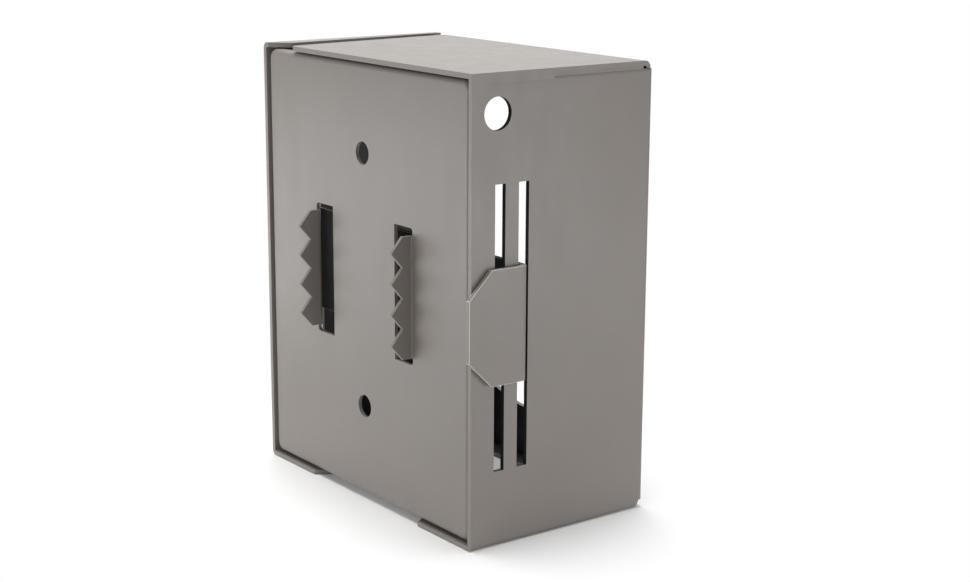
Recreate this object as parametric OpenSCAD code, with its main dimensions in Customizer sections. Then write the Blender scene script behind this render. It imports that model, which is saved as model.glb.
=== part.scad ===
// Steel security box for a trail camera, seen from the side that faces the tree.
// X runs across the box, +Y from the tree towards the window, +Z up.
// The origin is midway between the two lag-screw holes, on the rear face of the back plate.

/* [Box] */
// Width of the box across the outside of its side walls
box_w = 142; // [132:1:160]
// Depth of the box from its rear edges to its front face
box_d = 84.2; // [72:0.1:110]
// Height of the box from its feet to its top
box_h = 175; // [175:1:200]
// Thickness of every steel sheet
sheet = 1.9; // [1.2:0.1:2]
// Radius of the outside of the box's bends
bend_r = 2.4; // [2.2:0.1:3]
// Radius of the bend along the front of the top panel
top_bend_r = 2.6; // [2.4:0.1:3.2]
// Depth of the lip that hangs from the top panel behind the front panel
top_lip = 8; // [4:0.5:9]
// How far the back plate sits in front of the box's rear edges
plate_recess = 0.8; // [0:0.1:1.5]
// Height of the lag-screw pattern's middle above the feet
pattern_height = 88.5; // [87:0.5:92]

/* [Window] */
// Radius of the window's round ends
window_r = 57; // [40:1:57]
// Height of the lower round end's centre
window_low = -8.6; // [-12:0.1:-5]
// Height of the upper round end's centre
window_high = 12.5; // [8:0.1:14]

/* [Side slots and cable holes] */
// Width of each side slot
slot_w = 4.6; // [3.5:0.1:5]
// Length of each side slot
slot_len = 106.4; // [80:0.1:110]
// Height of the middle of the side slots
slot_mid = -6.3; // [-8:0.1:0]
// Distance from the box's rear edge to the middle of the rear slot
rear_slot = 12.7; // [11:0.1:14]
// Distance from the box's rear edge to the middle of the front slot
front_slot = 23.3; // [21:0.1:26]
// Diameter of the cable holes
cable_d = 12; // [8:0.5:13]
// Distance from the box's rear edge to the middle of a cable hole
cable_depth = 11.4; // [10:0.1:14]
// Height of the middle of the cable holes
cable_up = 72; // [65:0.5:74]

/* [Flanges] */
// Width of each bottom flange, along most of its length
foot_w = 37.3; // [20:0.1:45]
// Width that the bottom flange loses at its rear end
foot_taper = 3.5; // [0:0.1:6]
// Length of the tapered rear end of the bottom flange
foot_taper_len = 5.8; // [2:0.1:10]
// Depth of the lip that turns in from the front panel's lower edge
front_lip = 9.8; // [6:0.1:14]
// Width of the top flange on the left wall, at its rear end
left_flange = 11; // [8:0.5:14]
// How much narrower that flange is at its front end
left_flange_taper = 5; // [0:0.1:5]
// Width of the top flange on the right wall, under the top panel
right_flange = 10; // [6:0.5:14]
// Open gap between the left flange and the top panel, at the rear
top_gap = 10; // [4:0.5:12]
// How far the left edge of the top panel runs outwards from rear to front
top_splay = 7; // [0:0.1:8]

/* [Back plate] */
// Thickness of the back plate's sheet
plate_sheet = 1.5; // [1.2:0.1:1.5]
// Width of the back plate
plate_w = 136.8; // [120:0.1:136.8]
// Height of the back plate
plate_h = 169.6; // [150:0.1:169.6]
// Height of the plate's middle relative to the lag-screw pattern
plate_mid = -0.8; // [-1.2:0.1:0]
// Depth of the back plate's turned rim
rim_depth = 4.4; // [3:0.1:4.4]
// Radius of the outside of the rim's bend
rim_r = 1.9; // [1.8:0.1:2]
// Radius of the plate's four upright corners
rim_corner_r = 4; // [4:0.1:6]
// Distance between the two lag-screw holes
lag_pitch = 100; // [90:1:110]
// Diameter of the lag-screw holes
lag_d = 9; // [6:0.5:10]

/* [Bark teeth] */
// Width of each opening in the back plate
opening_w = 12; // [10:0.1:14]
// Height of each opening in the back plate
opening_h = 52.4; // [50:0.1:56]
// Distance from the middle of the plate to the middle of each opening
opening_x = 27.4; // [20:0.1:35]
// Number of teeth on each toothed tab
teeth = 4; // [3:1:4]
// Distance from one tooth to the next
tooth_pitch = 11.7; // [9:0.1:12]
// Height of a tooth from its root to its tip
tooth_h = 5.1; // [3:0.1:6]
// How far the tips of the teeth stand behind the back plate
tooth_reach = 9.1; // [7:0.1:10]

/* [Lock bar] */
// Height of the lock bar
bar_h = 43; // [30:1:45]
// Height of the middle of the lock bar
bar_mid = -4.75; // [-8:0.25:0]
// Radius of the outside of the lock bar's bend
bar_bend_r = 2.9; // [2.4:0.1:3.2]
// Gap between the lock bar's ear and the side wall
ear_gap = 0.5; // [0.3:0.1:1]
// How far the ear stands behind the box's rear edge
ear_overhang = 2.5; // [0:0.1:4]
// Cut across the two rear corners of the ear
ear_chamfer = 10; // [4:0.5:12]
// Length of bar that stands out of the left wall
bar_tail = 20; // [16:1:24]
// Cut across the two corners of the bar's tail
tail_chamfer = 8; // [2:0.5:10]
// Diameter of the padlock hole in the tail
padlock_d = 9.5; // [6:0.5:10]

/* [Hidden] */
$fn = 64;
eps = 0.01;
cut = 5;                                  // how far a cutting shape runs past what it cuts
half_w = box_w / 2;
rear_y = -plate_recess;
front_y = rear_y + box_d;
floor_z = -pattern_height;
roof_z = floor_z + box_h;
right_wall_top = roof_z - sheet;          // the right wall stops under the top panel
notch_h = 3.2;                            // height of the relief at each lower front corner
notch_w = 5;                              // width of the relief at each lower front corner
lip_gap = 1;                              // gap between the front lip and the bottom flanges
wall_end_y = front_y - bend_r;            // where the side walls turn into the front panel
panel_top = roof_z - top_bend_r;          // where the front panel meets the top panel's bend
post_gap = 0.5;                           // gap between the upright bends and the top panel's bend
post_top = panel_top - post_gap;
flange_reach = 0.4;                       // the left flange stops this far behind the front face
flange_start = 6.8;                       // clear space left for the back plate's rim
foot_front_gap = 3.2;                     // how far the feet end behind the front face
foot_front_y = front_y - foot_front_gap;
foot_front_h = 1.4;                       // height at which the slanted cut of a foot starts
corner_relief = 0.3;                      // gap round the top panel's front bend
mitre_root = 1;                           // what a top flange's corner cut leaves of the flat
top_left_x = -half_w + left_flange + top_gap;
top_front_y = front_y - sheet;            // the top panel's lip hangs behind the front panel
top_flat_end = top_front_y - top_bend_r;  // where the flat of the top panel ends
corner_r = 3;                             // rear left corner of the top panel
corner_steps = 12;
weld_leg = 2.1;
weld_start = flange_start;
weld_flush_end = 36;                      // from here to the front the bead is a little sunk
weld_sink = 0.3;
weld_end = top_flat_end - 2 * corner_relief;
opening_corner_r = 1.5;
tooth_bend_in = 0.5;                      // inner radius at the root of a toothed tab
opening_out = opening_x + opening_w / 2;  // outer edge of an opening
tab_h = teeth * tooth_pitch;
valley_y = -(tooth_reach - tooth_h);
bar_front_y = rear_y + front_slot + sheet / 2;
bar_rear_y = bar_front_y - sheet;
ear_out_x = half_w + ear_gap + sheet;
ear_end_y = rear_y - ear_overhang;
bar_end_x = -half_w - bar_tail;
steel = [0.52, 0.50, 0.47];
weld_metal = [0.48, 0.46, 0.43];

// Quarter of a flat ring in the quarter-plane towards +x and +y, bent round the point (0, 0).
module quarter_ring(outer, thick) {
    intersection() {
        difference() {
            circle(r = outer);
            circle(r = outer - thick);
        }
        square(outer + cut);
    }
}

// Rectangle with round corners of radius r, centred on the origin.
module round_rect(w, h, r) {
    square([w - 2 * r, h], center = true);
    square([w, h - 2 * r], center = true);
    for (x = [-1, 1], y = [-1, 1])
        translate([x * (w / 2 - r), y * (h / 2 - r)])
            circle(r = r);
}

// Upright sheet outline drawn in X and Z, pushed along +Y from y0 to y1.
module along_y(y0, y1) {
    translate([0, y1, 0])
        rotate([90, 0, 0])
            linear_extrude(y1 - y0)
                children();
}

// Sheet outline drawn in Y and Z, pushed along +X from x0 to x1.
module along_x(x0, x1) {
    translate([x0, 0, 0])
        rotate([90, 0, 90])
            linear_extrude(x1 - x0)
                children();
}

// Cross-section of a right-hand wall: foot flange, upright sheet and, if asked for, a top flange.
module wall_section(top_z, flange_w) {
    translate([half_w - sheet, floor_z + bend_r])
        square([sheet, top_z - floor_z - bend_r - (flange_w > 0 ? bend_r : 0)]);
    translate([half_w - bend_r, floor_z + bend_r])
        mirror([0, 1])
            quarter_ring(bend_r, sheet);
    translate([half_w - foot_w, floor_z])
        square([foot_w - bend_r, sheet]);
    if (flange_w > 0) {
        translate([half_w - bend_r, top_z - bend_r])
            quarter_ring(bend_r, sheet);
        translate([half_w - flange_w, top_z - sheet])
            square([flange_w - bend_r, sheet]);
    }
}

// Side slots and the cable hole, cut through both side walls.
module side_cuts() {
    for (depth = [rear_slot, front_slot])
        translate([-half_w - cut, rear_y + depth - slot_w / 2, slot_mid - slot_len / 2])
            cube([box_w + 2 * cut, slot_w, slot_len]);
    translate([0, rear_y + cable_depth, cable_up])
        rotate([0, 90, 0])
            cylinder(d = cable_d, h = box_w + 2 * cut, center = true);
}

// Triangular cut across the inner rear corner of a right-hand flange.
module flange_mitre(inner_x, start_y, run_x, run_y, z) {
    translate([0, 0, z - cut])
        linear_extrude(2 * cut)
            polygon([[inner_x - eps, start_y - eps], [inner_x + run_x, start_y - eps],
                     [inner_x - eps, start_y + run_y]]);
}

// Long wedge that narrows the left wall's top flange towards its front end.
module flange_taper() {
    inner_x = half_w - left_flange - eps;
    translate([0, 0, roof_z - cut])
        linear_extrude(2 * cut)
            polygon([[inner_x, rear_y], [inner_x, wall_end_y + eps],
                     [inner_x + left_flange_taper, wall_end_y + eps]]);
}

module right_wall() {
    difference() {
        union() {
            along_y(rear_y, flange_start) wall_section(right_wall_top, 0);
            along_y(flange_start, wall_end_y) wall_section(right_wall_top, right_flange);
        }
        flange_mitre(half_w - foot_w, rear_y, foot_taper, foot_taper_len, floor_z);
        flange_mitre(half_w - right_flange, flange_start, right_flange - bend_r - mitre_root,
                     right_flange - bend_r - mitre_root, right_wall_top);
        side_cuts();
        foot_front_cut();
        translate([half_w - right_flange - eps, top_flat_end - corner_relief, right_wall_top - bend_r])
            cube([right_flange - bend_r + eps, cut, cut]);
        translate([half_w - bend_r - eps, top_flat_end - corner_relief, panel_top - corner_relief])
            cube([cut, cut, cut]);
    }
}

module left_wall() {
    difference() {
        left_wall_blank();
        side_cuts();
    }
}

// The left wall before its slots and cable hole are cut.
module left_wall_blank() {
    mirror([1, 0, 0])
        difference() {
            along_y(rear_y, wall_end_y) wall_section(roof_z, left_flange);
            flange_mitre(half_w - foot_w, rear_y, foot_taper, foot_taper_len, floor_z);
            flange_mitre(half_w - left_flange, rear_y, left_flange - bend_r - mitre_root,
                         left_flange - bend_r - mitre_root, roof_z);
            flange_taper();
            foot_front_cut();
        }
    mirror([1, 0, 0])
        translate([half_w - left_flange + left_flange_taper, wall_end_y - eps, roof_z - sheet])
            cube([left_flange - left_flange_taper - bend_r,
                  front_y - flange_reach - wall_end_y + eps, sheet]);
}

// Slanted cut that frees the front end of a right-hand foot from the front panel.
module foot_front_cut() {
    along_x(half_w - foot_w - eps, half_w + cut)
        polygon([[foot_front_y, floor_z - cut], [foot_front_y, floor_z + foot_front_h],
                 [wall_end_y + eps, floor_z + notch_h], [wall_end_y + eps, floor_z - cut]]);
}

// The two upright bends between the side walls and the front panel.
module upright_bends() {
    for (side = [0, 1])
        mirror([side, 0, 0])
            translate([half_w - bend_r, wall_end_y, floor_z + notch_h])
                linear_extrude(post_top - floor_z - notch_h)
                    quarter_ring(bend_r, sheet);
}

module window_outline() {
    translate([0, window_low])
        circle(r = window_r, $fn = 128);
    translate([0, window_high])
        circle(r = window_r, $fn = 128);
    translate([-window_r, window_low])
        square([2 * window_r, window_high - window_low]);
}

// Front panel with its window, corner reliefs and the lip under it.
module front_panel() {
    lip_half = half_w - foot_w - lip_gap;
    difference() {
        along_y(front_y - sheet, front_y)
            difference() {
                translate([-half_w + bend_r, floor_z])
                    square([box_w - 2 * bend_r, panel_top - floor_z]);
                window_outline();
                for (side = [-1, 1])
                    translate([side * (half_w - bend_r), floor_z])
                        polygon([[-side * notch_w, -eps], [side * eps, -eps], [side * eps, notch_h]]);
                for (side = [-1, 1])
                    translate([side * (lip_half + lip_gap / 2) - lip_gap / 2, floor_z - eps])
                        square([lip_gap, notch_h]);
            }
        translate([-lip_half, front_y - sheet - cut, floor_z - cut])
            cube([2 * lip_half, sheet + 2 * cut, cut + bend_r]);
    }
    along_x(-lip_half, lip_half) {
        translate([front_y - bend_r, floor_z + bend_r])
            mirror([0, 1])
                quarter_ring(bend_r, sheet);
        translate([front_y - front_lip, floor_z])
            square([front_lip - bend_r, sheet]);
    }
}

// One folded blank: front panel, side walls, feet and narrow top flanges.
module housing_shell() {
    color(steel) {
        right_wall();
        left_wall();
        upright_bends();
        front_panel();
    }
}

// Flat of the top panel: its left edge splays outwards and its rear left corner is rounded.
module top_outline() {
    splay = atan(top_splay / (top_flat_end - rear_y));
    corner_x = top_left_x + corner_r * (1 - sin(splay)) / cos(splay);
    corner_y = rear_y + corner_r;
    polygon([[half_w, rear_y],
             [half_w, top_flat_end],
             [top_left_x - top_splay, top_flat_end],
             for (i = [0 : corner_steps])
                 let (turn = 180 + splay + (90 - splay) * i / corner_steps)
                 [corner_x + corner_r * cos(turn), corner_y + corner_r * sin(turn)]]);
}

// Top sheet with its front edge bent down behind the front panel.
module top_panel() {
    color(steel) {
        translate([0, 0, roof_z - sheet])
            linear_extrude(sheet)
                top_outline();
        along_x(top_left_x - top_splay, half_w)
            translate([top_flat_end, roof_z - top_bend_r])
                quarter_ring(top_bend_r, sheet);
        along_x(top_left_x - top_splay, half_w - bend_r - corner_relief)
            translate([top_front_y - sheet, roof_z - top_bend_r - top_lip])
                square([sheet, top_lip + eps]);
    }
}

// Section of the groove between the top panel and the rounded top of the right wall.
module groove_section(sink) {
    difference() {
        translate([half_w - weld_leg, right_wall_top - weld_leg])
            square([weld_leg - sink, weld_leg]);
        translate([half_w - bend_r, right_wall_top - bend_r])
            circle(r = bend_r);
    }
}

// Bead that fills that groove: ground flush along the rear, and a little sunk along the front.
module seam_weld() {
    color(weld_metal) {
        along_y(weld_start, weld_flush_end) groove_section(0);
        along_y(weld_flush_end - eps, weld_end) groove_section(weld_sink);
    }
}

// Half of a plate's cross-section: from its middle out to w, with a round edge of radius r at the bottom.
module half_section(w, r, depth) {
    translate([0, r])
        square([w, depth - r]);
    square([w - r, depth]);
    translate([w - r, r])
        circle(r = r);
}

// Block with round corners seen from the tree, and a round edge of radius r on that side.
module rim_block(w, h, corner, r, depth) {
    for (side = [0, 1]) {
        mirror([side, 0, 0])
            translate([0, 0, -h / 2 + corner])
                linear_extrude(h - 2 * corner)
                    half_section(w / 2, r, depth);
        mirror([0, 0, side])
            translate([w / 2 - corner, 0, 0])
                rotate([0, -90, 0])
                    linear_extrude(w - 2 * corner)
                        half_section(h / 2, r, depth);
        for (end = [-1, 1])
            mirror([side, 0, 0])
                translate([w / 2 - corner, 0, end * (h / 2 - corner)])
                    rotate([-90, 0, 0])
                        rotate_extrude()
                            half_section(corner, r, depth);
    }
}

// Opening for one toothed tab, square on its inner side and rounded on its outer side.
module tab_opening() {
    translate([opening_x - opening_w / 2, -opening_h / 2])
        square([opening_w - opening_corner_r, opening_h]);
    translate([opening_x, 0])
        round_rect(opening_w, opening_h, opening_corner_r);
}

// Toothed tab on the right-hand side: its bend and its row of teeth.
module toothed_tab() {
    translate([opening_out, -tooth_bend_in, -tab_h / 2])
        linear_extrude(tab_h)
            mirror([1, 0])
                quarter_ring(tooth_bend_in + plate_sheet, plate_sheet);
    along_x(opening_out - tooth_bend_in - plate_sheet, opening_out - tooth_bend_in)
        polygon([[-tooth_bend_in, -tab_h / 2],
                 for (i = [0 : teeth - 1]) each [
                     [valley_y, -tab_h / 2 + i * tooth_pitch],
                     [-tooth_reach, -tab_h / 2 + (i + 0.5) * tooth_pitch]],
                 [valley_y, tab_h / 2],
                 [-tooth_bend_in, tab_h / 2]]);
}

// Shallow tray that is screwed to the tree, with its two toothed tabs bent out of it.
module back_plate() {
    color(steel) {
        difference() {
            translate([0, 0, plate_mid])
                rim_block(plate_w, plate_h, rim_corner_r, rim_r, rim_depth);
            translate([0, 0, plate_mid])
                along_y(plate_sheet, rim_depth + cut)
                    round_rect(plate_w - 2 * plate_sheet, plate_h - 2 * plate_sheet,
                               rim_corner_r - plate_sheet);
            for (z = [-lag_pitch / 2, lag_pitch / 2])
                translate([0, 0, z])
                    rotate([90, 0, 0])
                        cylinder(d = lag_d, h = 4 * sheet, center = true);
            for (side = [0, 1])
                mirror([side, 0, 0])
                    along_y(-cut, cut) tab_opening();
        }
        for (side = [0, 1])
            mirror([side, 0, 0])
                toothed_tab();
    }
}

// Flat bar that passes through both front slots, with an ear bent back along the right wall.
module lock_bar() {
    bend_x = ear_out_x - bar_bend_r;
    bend_y = bar_front_y - bar_bend_r;
    color(steel)
        translate([0, 0, bar_mid]) {
            difference() {
                along_y(bar_rear_y, bar_front_y)
                    polygon([[bend_x, -bar_h / 2],
                             [bend_x, bar_h / 2],
                             [bar_end_x + tail_chamfer, bar_h / 2],
                             [bar_end_x, bar_h / 2 - tail_chamfer],
                             [bar_end_x, -bar_h / 2 + tail_chamfer],
                             [bar_end_x + tail_chamfer, -bar_h / 2]]);
                translate([bar_end_x + bar_tail / 2, bar_front_y, 0])
                    rotate([90, 0, 0])
                        cylinder(d = padlock_d, h = 4 * sheet, center = true);
            }
            translate([bend_x, bend_y, -bar_h / 2])
                linear_extrude(bar_h)
                    quarter_ring(bar_bend_r, sheet);
            along_x(ear_out_x - sheet, ear_out_x)
                polygon([[bend_y, -bar_h / 2],
                         [bend_y, bar_h / 2],
                         [ear_end_y + ear_chamfer, bar_h / 2],
                         [ear_end_y, bar_h / 2 - ear_chamfer],
                         [ear_end_y, -bar_h / 2 + ear_chamfer],
                         [ear_end_y + ear_chamfer, -bar_h / 2]]);
        }
}

housing_shell();
top_panel();
seam_weld();
back_plate();
lock_bar();
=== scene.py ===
# %% [markdown]
# # A folded steel box with a satin powder coat
# The object is a small security box for a trail camera: a folded housing, a top panel, a toothed
# back plate and a sliding lock bar, all cut and bent from thin steel sheet. Every shape and size
# comes from a finished model, the frame, so this lesson is about two other things: how to make flat
# sheet metal look real, and how to light a grey object on a white table.

import math

import bmesh
import bpy
from mathutils import Matrix, Vector


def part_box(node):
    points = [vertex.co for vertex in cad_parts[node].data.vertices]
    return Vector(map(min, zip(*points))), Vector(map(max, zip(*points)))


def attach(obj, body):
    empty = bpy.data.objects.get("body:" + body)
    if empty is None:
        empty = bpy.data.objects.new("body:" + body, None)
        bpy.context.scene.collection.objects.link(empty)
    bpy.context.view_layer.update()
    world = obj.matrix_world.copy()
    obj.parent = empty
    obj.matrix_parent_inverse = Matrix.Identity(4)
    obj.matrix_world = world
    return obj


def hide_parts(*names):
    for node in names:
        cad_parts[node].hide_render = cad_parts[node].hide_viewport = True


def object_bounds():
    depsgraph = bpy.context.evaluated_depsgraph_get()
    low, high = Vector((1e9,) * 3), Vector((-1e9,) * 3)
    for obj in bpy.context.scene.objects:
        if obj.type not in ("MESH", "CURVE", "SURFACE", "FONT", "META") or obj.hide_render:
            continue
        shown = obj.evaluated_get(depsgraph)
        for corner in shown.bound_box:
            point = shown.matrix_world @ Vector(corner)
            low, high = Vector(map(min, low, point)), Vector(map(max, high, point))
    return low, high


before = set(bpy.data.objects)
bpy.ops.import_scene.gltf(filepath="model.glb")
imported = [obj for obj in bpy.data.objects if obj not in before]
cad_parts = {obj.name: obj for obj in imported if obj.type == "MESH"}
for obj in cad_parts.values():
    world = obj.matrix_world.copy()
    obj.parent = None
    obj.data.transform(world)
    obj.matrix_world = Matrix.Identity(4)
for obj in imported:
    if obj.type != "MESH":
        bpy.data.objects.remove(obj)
frame_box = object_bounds()
low_corner, high_corner = (Vector(corner) for corner in frame_box)
MM = 0.001
print("box in mm:", [round((h - l) / MM, 1) for l, h in zip(low_corner, high_corner)])

# %% [markdown]
# ## Colours and nodes
# Colours are written as hex values, the way a paint chart gives them. Blender works with linear
# light, so one function turns a hex value into the linear colour that a shader expects.
# Another small function adds a shader node, fills in its settings and links its inputs. Materials
# are then short lists of nodes, and no function is tied to one kind of node.

# %% Helpers for colours and nodes
def paint(hex_value):
    """An sRGB hex value such as '7e7873' as a linear colour with full alpha."""
    channels = [int(hex_value[i:i + 2], 16) / 255 for i in (0, 2, 4)]
    linear = [c / 12.92 if c <= 0.04045 else ((c + 0.055) / 1.055) ** 2.4 for c in channels]
    return (*linear, 1.0)


def add(tree, kind, inputs=None, **settings):
    """Adds a node; an input is a plain value, or a socket of another node to link from."""
    node = tree.nodes.new(kind)
    for name, value in settings.items():
        setattr(node, name, value)
    for name, value in (inputs or {}).items():
        socket = node.inputs[name]
        if isinstance(value, bpy.types.NodeSocket):
            tree.links.new(value, socket)
        else:
            socket.default_value = value
    return node


def new_material(name):
    """An empty node material with its output node."""
    material = bpy.data.materials.new(name)
    material.use_nodes = True
    material.node_tree.nodes.clear()
    return material, material.node_tree, add(material.node_tree, "ShaderNodeOutputMaterial")


print("warm grey in linear light:", [round(c, 3) for c in paint("7e7873")[:3]])

# %% [markdown]
# ## The powder coat
# The steel is sprayed with polyester powder and baked. The powder melts into a skin about a tenth
# of a millimetre thick with a satin sheen. Two things tell the eye that it isn't plastic or bare
# metal: the orange peel, a very shallow waviness one or two millimetres across, and a finer grain
# of half a millimetre that breaks up the highlights.
# Both could be painted on as a picture. Noise textures on Object coordinates are better here,
# because they have no seams, and their scale is simply one over the real size in metres. The coat
# is an insulator with a refractive index near 1.5, so the base is a plain dielectric.

# %% Powder coat for the faces
PEEL_SIZE = 1.6 * MM        # one bump of the orange peel
GRAIN_SIZE = 0.45 * MM      # the fine grain on top of it
CLOUD_SIZE = 45 * MM        # slow change of shade across a sheet
SCUFF_SIZE = 9 * MM         # faint handling marks, drawn out upwards
SCUFF_STRETCH = (1.0, 1.0, 0.25)
COAT_IOR = 1.5


def coat_surface(tree, peel_depth, grain_depth):
    """Height of the coat as a bump, and three noises that the colours and the gloss are made from."""
    place = add(tree, "ShaderNodeTexCoord").outputs["Object"]
    peel = add(tree, "ShaderNodeTexNoise",
               {"Vector": place, "Scale": 1 / PEEL_SIZE, "Detail": 1.5, "Roughness": 0.4})
    grain = add(tree, "ShaderNodeTexNoise",
                {"Vector": place, "Scale": 1 / GRAIN_SIZE, "Detail": 2.0, "Roughness": 0.55})
    clouds = add(tree, "ShaderNodeTexNoise",
                 {"Vector": place, "Scale": 1 / CLOUD_SIZE, "Detail": 3.0, "Roughness": 0.55})
    stretch = add(tree, "ShaderNodeMapping", {"Vector": place, "Scale": SCUFF_STRETCH})
    scuffs = add(tree, "ShaderNodeTexNoise",
                 {"Vector": stretch.outputs["Vector"], "Scale": 1 / SCUFF_SIZE, "Detail": 6.0,
                  "Roughness": 0.7})
    waves = add(tree, "ShaderNodeBump",
                {"Height": peel.outputs["Fac"], "Strength": 1.0, "Distance": peel_depth})
    surface = add(tree, "ShaderNodeBump",
                  {"Height": grain.outputs["Fac"], "Strength": 1.0, "Distance": grain_depth,
                   "Normal": waves.outputs["Normal"]})
    return surface, grain, clouds, scuffs


def coat_colour(tree, dark, light, grain, clouds):
    """Two close shades of one powder, blended by the slow clouds and a little by the grain."""
    blend = add(tree, "ShaderNodeMath", {0: grain.outputs["Fac"], 1: 0.35}, operation="MULTIPLY")
    amount = add(tree, "ShaderNodeMath", {0: clouds.outputs["Fac"], 1: blend.outputs[0]},
                 operation="ADD")
    ramp = add(tree, "ShaderNodeValToRGB", {"Fac": amount.outputs[0]})
    ramp.color_ramp.elements[0].position = 0.35
    ramp.color_ramp.elements[0].color = dark
    ramp.color_ramp.elements[1].position = 1.0
    ramp.color_ramp.elements[1].color = light
    return ramp


def coat_gloss(tree, scuffs, low, high):
    """Roughness that wanders between two values, where handling has rubbed the satin."""
    return add(tree, "ShaderNodeMapRange",
               {"Value": scuffs.outputs["Fac"], "From Min": 0.35, "From Max": 0.7,
                "To Min": low, "To Max": high})


def powder_finish(name, dark, light, peel_depth, grain_depth, glossiest, dullest):
    """A coat from its two shades, the depth of its peel and grain, and its range of roughness."""
    material, tree, output = new_material(name)
    surface, grain, clouds, scuffs = coat_surface(tree, peel_depth, grain_depth)
    colour = coat_colour(tree, paint(dark), paint(light), grain, clouds)
    gloss = coat_gloss(tree, scuffs, glossiest, dullest)
    skin = add(tree, "ShaderNodeBsdfPrincipled",
               {"Base Color": colour.outputs["Color"], "Roughness": gloss.outputs["Result"],
                "IOR": COAT_IOR, "Metallic": 0.0, "Normal": surface.outputs["Normal"]})
    tree.links.new(skin.outputs["BSDF"], output.inputs["Surface"])
    return material


# Satin polyester powder coat, sprayed and baked: an even warm grey with a soft sheen.
face_coat = powder_finish("powder_coat_warm_grey", "7b7570", "817b76",
                          0.012 * MM, 0.004 * MM, 0.40, 0.48)
print("made", face_coat.name)

# %% [markdown]
# ## Three looks of one powder: a painted edge highlight, painted inside shade and the weld
# The cut edges are a little smoother, and their colour is pale: a painted highlight that stands in for
# the light each rounded edge catches. The inside of the box is dull and painted nearly black: painted
# shade that stands in for the shade deep in the box.
# Over the ground weld the coat is as thick as anywhere, but the steel under it is uneven.
# They could be one material that mixes three looks by a mask. Separate materials are simpler here,
# because each look belongs to whole faces, and a face can simply be given its own slot.

# %% Painted edge highlight, painted inside shade and weld finish
# Painted highlight on cut edges: a pale colour that stands in for the light along each rounded edge.
edge_painted_highlight = powder_finish("powder_coat_painted_edge_highlight", "c6c0b8", "d8d2ca",
                          0.006 * MM, 0.003 * MM, 0.30, 0.42)
# Painted shade inside: a dull, near-black colour that stands in for the shade deep in the box.
inside_painted_shade = powder_finish("powder_coat_painted_inside_shade", "232120", "2c2a28",
                            0.010 * MM, 0.006 * MM, 0.55, 0.70)
# Full coat over a ground bead: the same grey, but lumpy under the skin.
weld_coat = powder_finish("powder_coat_over_ground_weld", "79736e", "847e78",
                          0.08 * MM, 0.012 * MM, 0.38, 0.55)
print("made", [finish.name for finish in (edge_painted_highlight, inside_painted_shade, weld_coat)])

# %% [markdown]
# ## Soft edges on hard sheet
# In the frame every cut edge is perfectly sharp. Real sheet never is: the punch rolls the corner
# over and the powder rounds it further, to a radius of about a third of a millimetre. That thin
# round strip catches the light all along each edge, and it is most of what makes folded metal look
# real.
# The frame's own mesh must stay as it is, so each sheet is copied. The copy is loose triangles:
# its doubles are merged and its flat areas are dissolved back into whole faces, and then a Bevel
# modifier rounds every edge that turns more than thirty degrees. Bends are made of small steps, so
# it leaves them alone. Hardened normals keep the large faces flat, and the modifier puts the new
# strips in the slot of the painted edge highlight.
# A face may have only one finish, but some run from outside the box to inside it. Three planes cut
# such faces in two first: one on each side wall, and one at the front of the back plate's rim.

# %% Whole faces, sorted into outside and inside
EDGE_RADIUS = 0.35 * MM
SHARP_TURN = math.radians(30)
FLAT_TURN = math.radians(0.5)
MERGE_DISTANCE = 0.002 * MM
FACE_SLOT, EDGE_HIGHLIGHT_SLOT, INSIDE_SHADE_SLOT = 0, 1, 2
SIDE_WALL = 0.9 * MM        # past this depth a face is inside: it takes in the slots' cut faces
WALL = 1.0 * MM             # the same for the front, top and bottom, without the window's cut face
RIM_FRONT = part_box("back_plate")[1].y
FACES_FORWARD = 0.9         # a normal this close to +Y looks towards the window
shell_low, shell_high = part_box("housing_shell")
CUTS = [((shell_low.x, 0, 0), (1, 0, 0)),
        ((shell_high.x, 0, 0), (1, 0, 0)),
        ((0, RIM_FRONT, 0), (0, 1, 0))]


def is_inside(face):
    """True for a face inside the housing, and for the hidden front side of the back plate."""
    place = face.calc_center_median()
    walled = (shell_low.x + SIDE_WALL < place.x < shell_high.x - SIDE_WALL
              and shell_low.z + WALL < place.z < shell_high.z - WALL
              and place.y < shell_high.y - WALL)
    return walled and (place.y > RIM_FRONT or face.normal.y > FACES_FORWARD)


def whole_faces(node):
    """A copy of a frame node's mesh with merged corners, undivided flat faces and finishes."""
    mesh = bpy.data.meshes.new(node + "_sheet")
    bm = bmesh.new()
    bm.from_mesh(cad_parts[node].data)
    bmesh.ops.remove_doubles(bm, verts=bm.verts, dist=MERGE_DISTANCE)
    bmesh.ops.dissolve_limit(bm, angle_limit=FLAT_TURN, verts=bm.verts, edges=bm.edges)
    for place, direction in CUTS:
        bmesh.ops.bisect_plane(bm, geom=bm.verts[:] + bm.edges[:] + bm.faces[:],
                               plane_co=place, plane_no=direction)
    for face in bm.faces:
        face.smooth = True
        # Faces inside the housing take the painted shade; the rest take the plain coat.
        face.material_index = INSIDE_SHADE_SLOT if is_inside(face) else FACE_SLOT
    bm.to_mesh(mesh)
    bm.free()
    mesh.set_sharp_from_angle(angle=SHARP_TURN)
    return mesh


print("the inside starts", round((RIM_FRONT - shell_low.y) / MM, 1), "mm in front of the rear edge")


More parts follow.
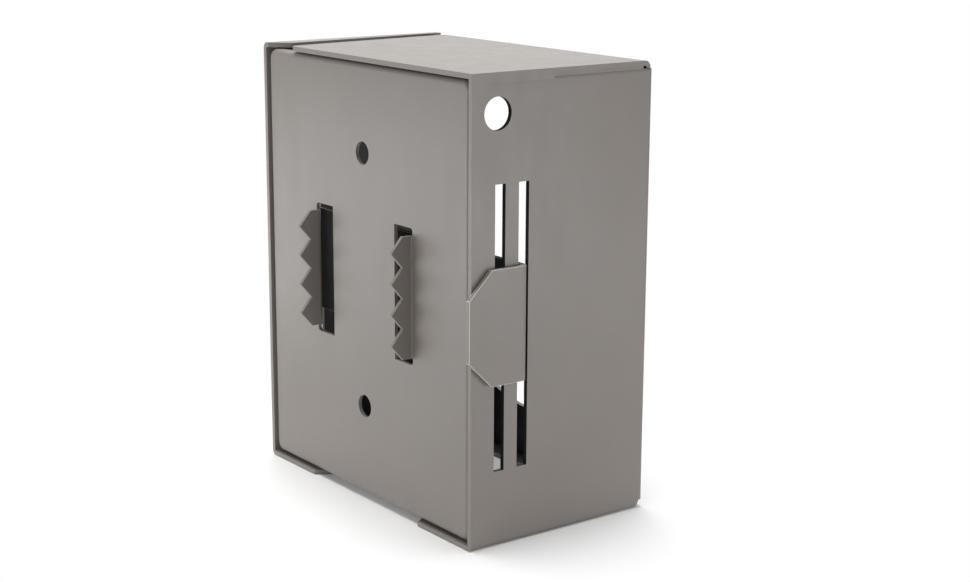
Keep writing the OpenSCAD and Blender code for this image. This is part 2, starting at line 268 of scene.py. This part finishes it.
# %% Sheets with rounded edges
def soft_sheet(node, body):
    """Shows a frame node as a sheet with rounded edges in a painted highlight, and hides the sharp one.
    """
    sheet = bpy.data.objects.new(node + "_sheet", whole_faces(node))
    bpy.context.scene.collection.objects.link(sheet)
    # Slots: the plain coat, the painted edge highlight and the painted inside shade.
    for finish in (face_coat, edge_painted_highlight, inside_painted_shade):
        sheet.data.materials.append(finish)
    bevel = sheet.modifiers.new("rolled_edges", "BEVEL")
    bevel.width = EDGE_RADIUS
    bevel.segments = 3
    bevel.profile = 0.5
    bevel.limit_method = "ANGLE"
    bevel.angle_limit = SHARP_TURN
    bevel.harden_normals = True
    # The rounded strips take the painted edge highlight.
    bevel.material = EDGE_HIGHLIGHT_SLOT
    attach(sheet, body)
    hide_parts(node)
    print(sheet.name, "has", len(sheet.data.polygons), "faces before its edges are rounded")


soft_sheet("housing_shell", "housing")
soft_sheet("top_panel", "housing")
soft_sheet("back_plate", "back_plate")
soft_sheet("lock_bar", "lock_bar")

# %% [markdown]
# ## The weld
# A bead fills the groove between the top panel and the right wall, and it was ground down
# before the box was sprayed. A rounded copy would gain nothing, because the bead has no free edge.
# So the frame's own mesh is shown, and it is only given its finish.

# %% Weld finish
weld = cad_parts["seam_weld"]
weld.data.materials.clear()
weld.data.materials.append(weld_coat)
print("weld finish:", weld.data.materials[0].name)

# %% [markdown]
# ## A sweep of white paper
# A grey object on white is lit mostly by the white around it. Here that is a long, narrow sweep of
# paper that runs back towards a bright backdrop. A curved sheet could do it, but a flat one is
# enough: near the box it is a matt surface that takes its shadow, and further out it turns into
# plain white light, so there is no horizon. The narrow width leaves the studio beside it dimmer,
# which keeps the walls darker than the top.

# %% White paper
PAPER_LENGTH = 4.4
PAPER_WIDTH = 0.76
PAPER_FRONT = 0.5           # how far the paper comes forward of the box
FADE_START = 0.06           # distance from the box's middle where the paper starts to glow
FADE_END = 0.17             # and where it is nothing but light
WHITE = (1.0, 1.0, 1.0, 1.0)
MATT_WHITE = (0.9, 0.9, 0.9, 1.0)
BACKDROP_SIDE = Vector((-0.8, 0.6, 0.0))
footprint = Vector((0, (low_corner.y + high_corner.y) / 2, low_corner.z))


def white_paper():
    """Matt white near the box, turning into plain white light further out."""
    material, tree, output = new_material("white_paper")
    place = add(tree, "ShaderNodeTexCoord").outputs["Object"]
    distance = add(tree, "ShaderNodeVectorMath", {0: place, 1: tuple(footprint)},
                   operation="DISTANCE")
    fade = add(tree, "ShaderNodeMapRange",
               {"Value": distance.outputs["Value"], "From Min": FADE_START, "From Max": FADE_END},
               interpolation_type="SMOOTHSTEP")
    matt = add(tree, "ShaderNodeBsdfDiffuse", {"Color": MATT_WHITE})
    light = add(tree, "ShaderNodeEmission", {"Color": WHITE, "Strength": 1.0})
    mix = add(tree, "ShaderNodeMixShader",
              {"Fac": fade.outputs["Result"], 1: matt.outputs[0], 2: light.outputs[0]})
    tree.links.new(mix.outputs[0], output.inputs["Surface"])
    return material


bm = bmesh.new()
bmesh.ops.create_grid(bm, x_segments=1, y_segments=1, size=0.5)
bmesh.ops.scale(bm, verts=bm.verts, vec=(PAPER_LENGTH, PAPER_WIDTH, 1.0))
bmesh.ops.translate(bm, verts=bm.verts, vec=(PAPER_LENGTH / 2 - PAPER_FRONT, 0.0, 0.0))
along = math.atan2(BACKDROP_SIDE.y, BACKDROP_SIDE.x)
bmesh.ops.rotate(bm, verts=bm.verts, matrix=Matrix.Rotation(along, 3, "Z"))
bmesh.ops.translate(bm, verts=bm.verts, vec=footprint)
paper_mesh = bpy.data.meshes.new("paper")
bm.to_mesh(paper_mesh)
bm.free()
paper = bpy.data.objects.new("paper", paper_mesh)
bpy.context.scene.collection.objects.link(paper)
paper.data.materials.append(white_paper())
print("paper at height", round(low_corner.z / MM, 1), "mm, turned", round(math.degrees(along)), "degrees")

# %% [markdown]
# ## The studio round it
# The room is a world light, not walls, because all that matters is how bright each side is. The
# backdrop's side is brightest, and its reflection at a low angle is what makes the top panel pale.
# Every other side is less than half as bright. What the eye sees behind the box is plain white from
# any side, so the world has one strength for light and another for its own picture.

# %% World
BACKDROP_STRENGTH = 1.15
ROOM_STRENGTH = 0.45
BACKDROP_EDGE = 0.3         # cosine from the backdrop's side where the room's strength ends
BACKDROP_FULL = 0.9         # and where the backdrop's full strength starts


def white_studio():
    """Light that is bright from the backdrop and dimmer from every other side."""
    world = bpy.data.worlds.new("white_studio")
    world.use_nodes = True
    tree = world.node_tree
    tree.nodes.clear()
    output = add(tree, "ShaderNodeOutputWorld")
    direction = add(tree, "ShaderNodeTexCoord").outputs["Generated"]
    facing = add(tree, "ShaderNodeVectorMath", {0: direction, 1: tuple(BACKDROP_SIDE)},
                 operation="DOT_PRODUCT")
    strength = add(tree, "ShaderNodeMapRange",
                   {"Value": facing.outputs["Value"],
                    "From Min": BACKDROP_EDGE, "From Max": BACKDROP_FULL,
                    "To Min": ROOM_STRENGTH, "To Max": BACKDROP_STRENGTH},
                   interpolation_type="SMOOTHSTEP")
    light = add(tree, "ShaderNodeBackground", {"Color": WHITE, "Strength": strength.outputs["Result"]})
    picture = add(tree, "ShaderNodeBackground", {"Color": WHITE, "Strength": 1.0})
    seen = add(tree, "ShaderNodeLightPath").outputs["Is Camera Ray"]
    mix = add(tree, "ShaderNodeMixShader", {"Fac": seen, 1: light.outputs[0], 2: picture.outputs[0]})
    tree.links.new(mix.outputs[0], output.inputs["Surface"])
    return world


bpy.context.scene.world = white_studio()
print("room is", round(ROOM_STRENGTH / BACKDROP_STRENGTH, 2), "as bright as the backdrop")

# %% [markdown]
# ## Four soft boxes
# Even light would leave the metal flat and dull. A large box overhead lights the top and the paper.
# A small one stands low on the far side of the back plate and gives it a soft highlight that fades
# towards the near edge. Two fills, in front of the plate and beside the right wall, lift the lower
# halves of both. Point lamps would be simpler, but their shadows would be hard, and a soft shadow
# is what a photographer's white box gives.

# %% Soft boxes
centre = (low_corner + high_corner) / 2
plate_spot = centre + Vector((-0.05, -0.04, -0.01))


def soft_box(name, offset, aim, width, height, watts):
    """A rectangular area light, placed by its offset from the box's middle, that points at aim."""
    place = centre + Vector(offset)
    light = bpy.data.lights.new(name, "AREA")
    light.shape = "RECTANGLE"
    light.size = width
    light.size_y = height
    light.energy = watts
    lamp = bpy.data.objects.new(name, light)
    turn = (aim - place).to_track_quat("-Z", "Y")
    lamp.matrix_world = Matrix.LocRotScale(place, turn, None)
    lamp.visible_camera = False
    bpy.context.scene.collection.objects.link(lamp)
    print(name, "is", round((aim - place).length, 2), "m from what it lights")


soft_box("overhead_box", (-0.12, 0.0, 1.1), centre, 0.8, 0.8, 15.5)
soft_box("plate_side_box", (-0.27, -0.165, -0.065), plate_spot, 0.13, 0.20, 0.21)
soft_box("low_left_box", (-0.2, -0.44, -0.06), centre, 0.3, 0.2, 0.85)
soft_box("right_wall_box", (0.6, 0.25, -0.06), centre, 0.4, 0.2, 1.1)

# %% [markdown]
# ## Camera
# The camera looks down a little, from the corner between the back plate and the right wall, with a
# short telephoto lens so that the box's upright edges converge only slightly.
# It is set from two angles, a small tilt of the horizon and a place, and its shift stays at zero.

# %% Camera and view
CAMERA_PLACE = Vector((0.56928, -0.36925, 0.15543))
TURN_FROM_BACK = math.radians(53.07)
LOOK_DOWN = math.radians(13.21)
HORIZON_TILT = math.radians(0.30)

lens = bpy.data.cameras.new("camera")
lens.sensor_width = 36.0
lens.lens = 66.87
camera = bpy.data.objects.new("camera", lens)
turn = (Matrix.Rotation(TURN_FROM_BACK, 4, "Z")
        @ Matrix.Rotation(math.radians(90) - LOOK_DOWN, 4, "X")
        @ Matrix.Rotation(HORIZON_TILT, 4, "Z"))
camera.matrix_world = Matrix.Translation(CAMERA_PLACE) @ turn
bpy.context.scene.collection.objects.link(camera)
bpy.context.scene.camera = camera
bpy.context.scene.view_settings.view_transform = "Standard"
print("camera is", round((CAMERA_PLACE - centre).length, 3), "m from the middle of the box")
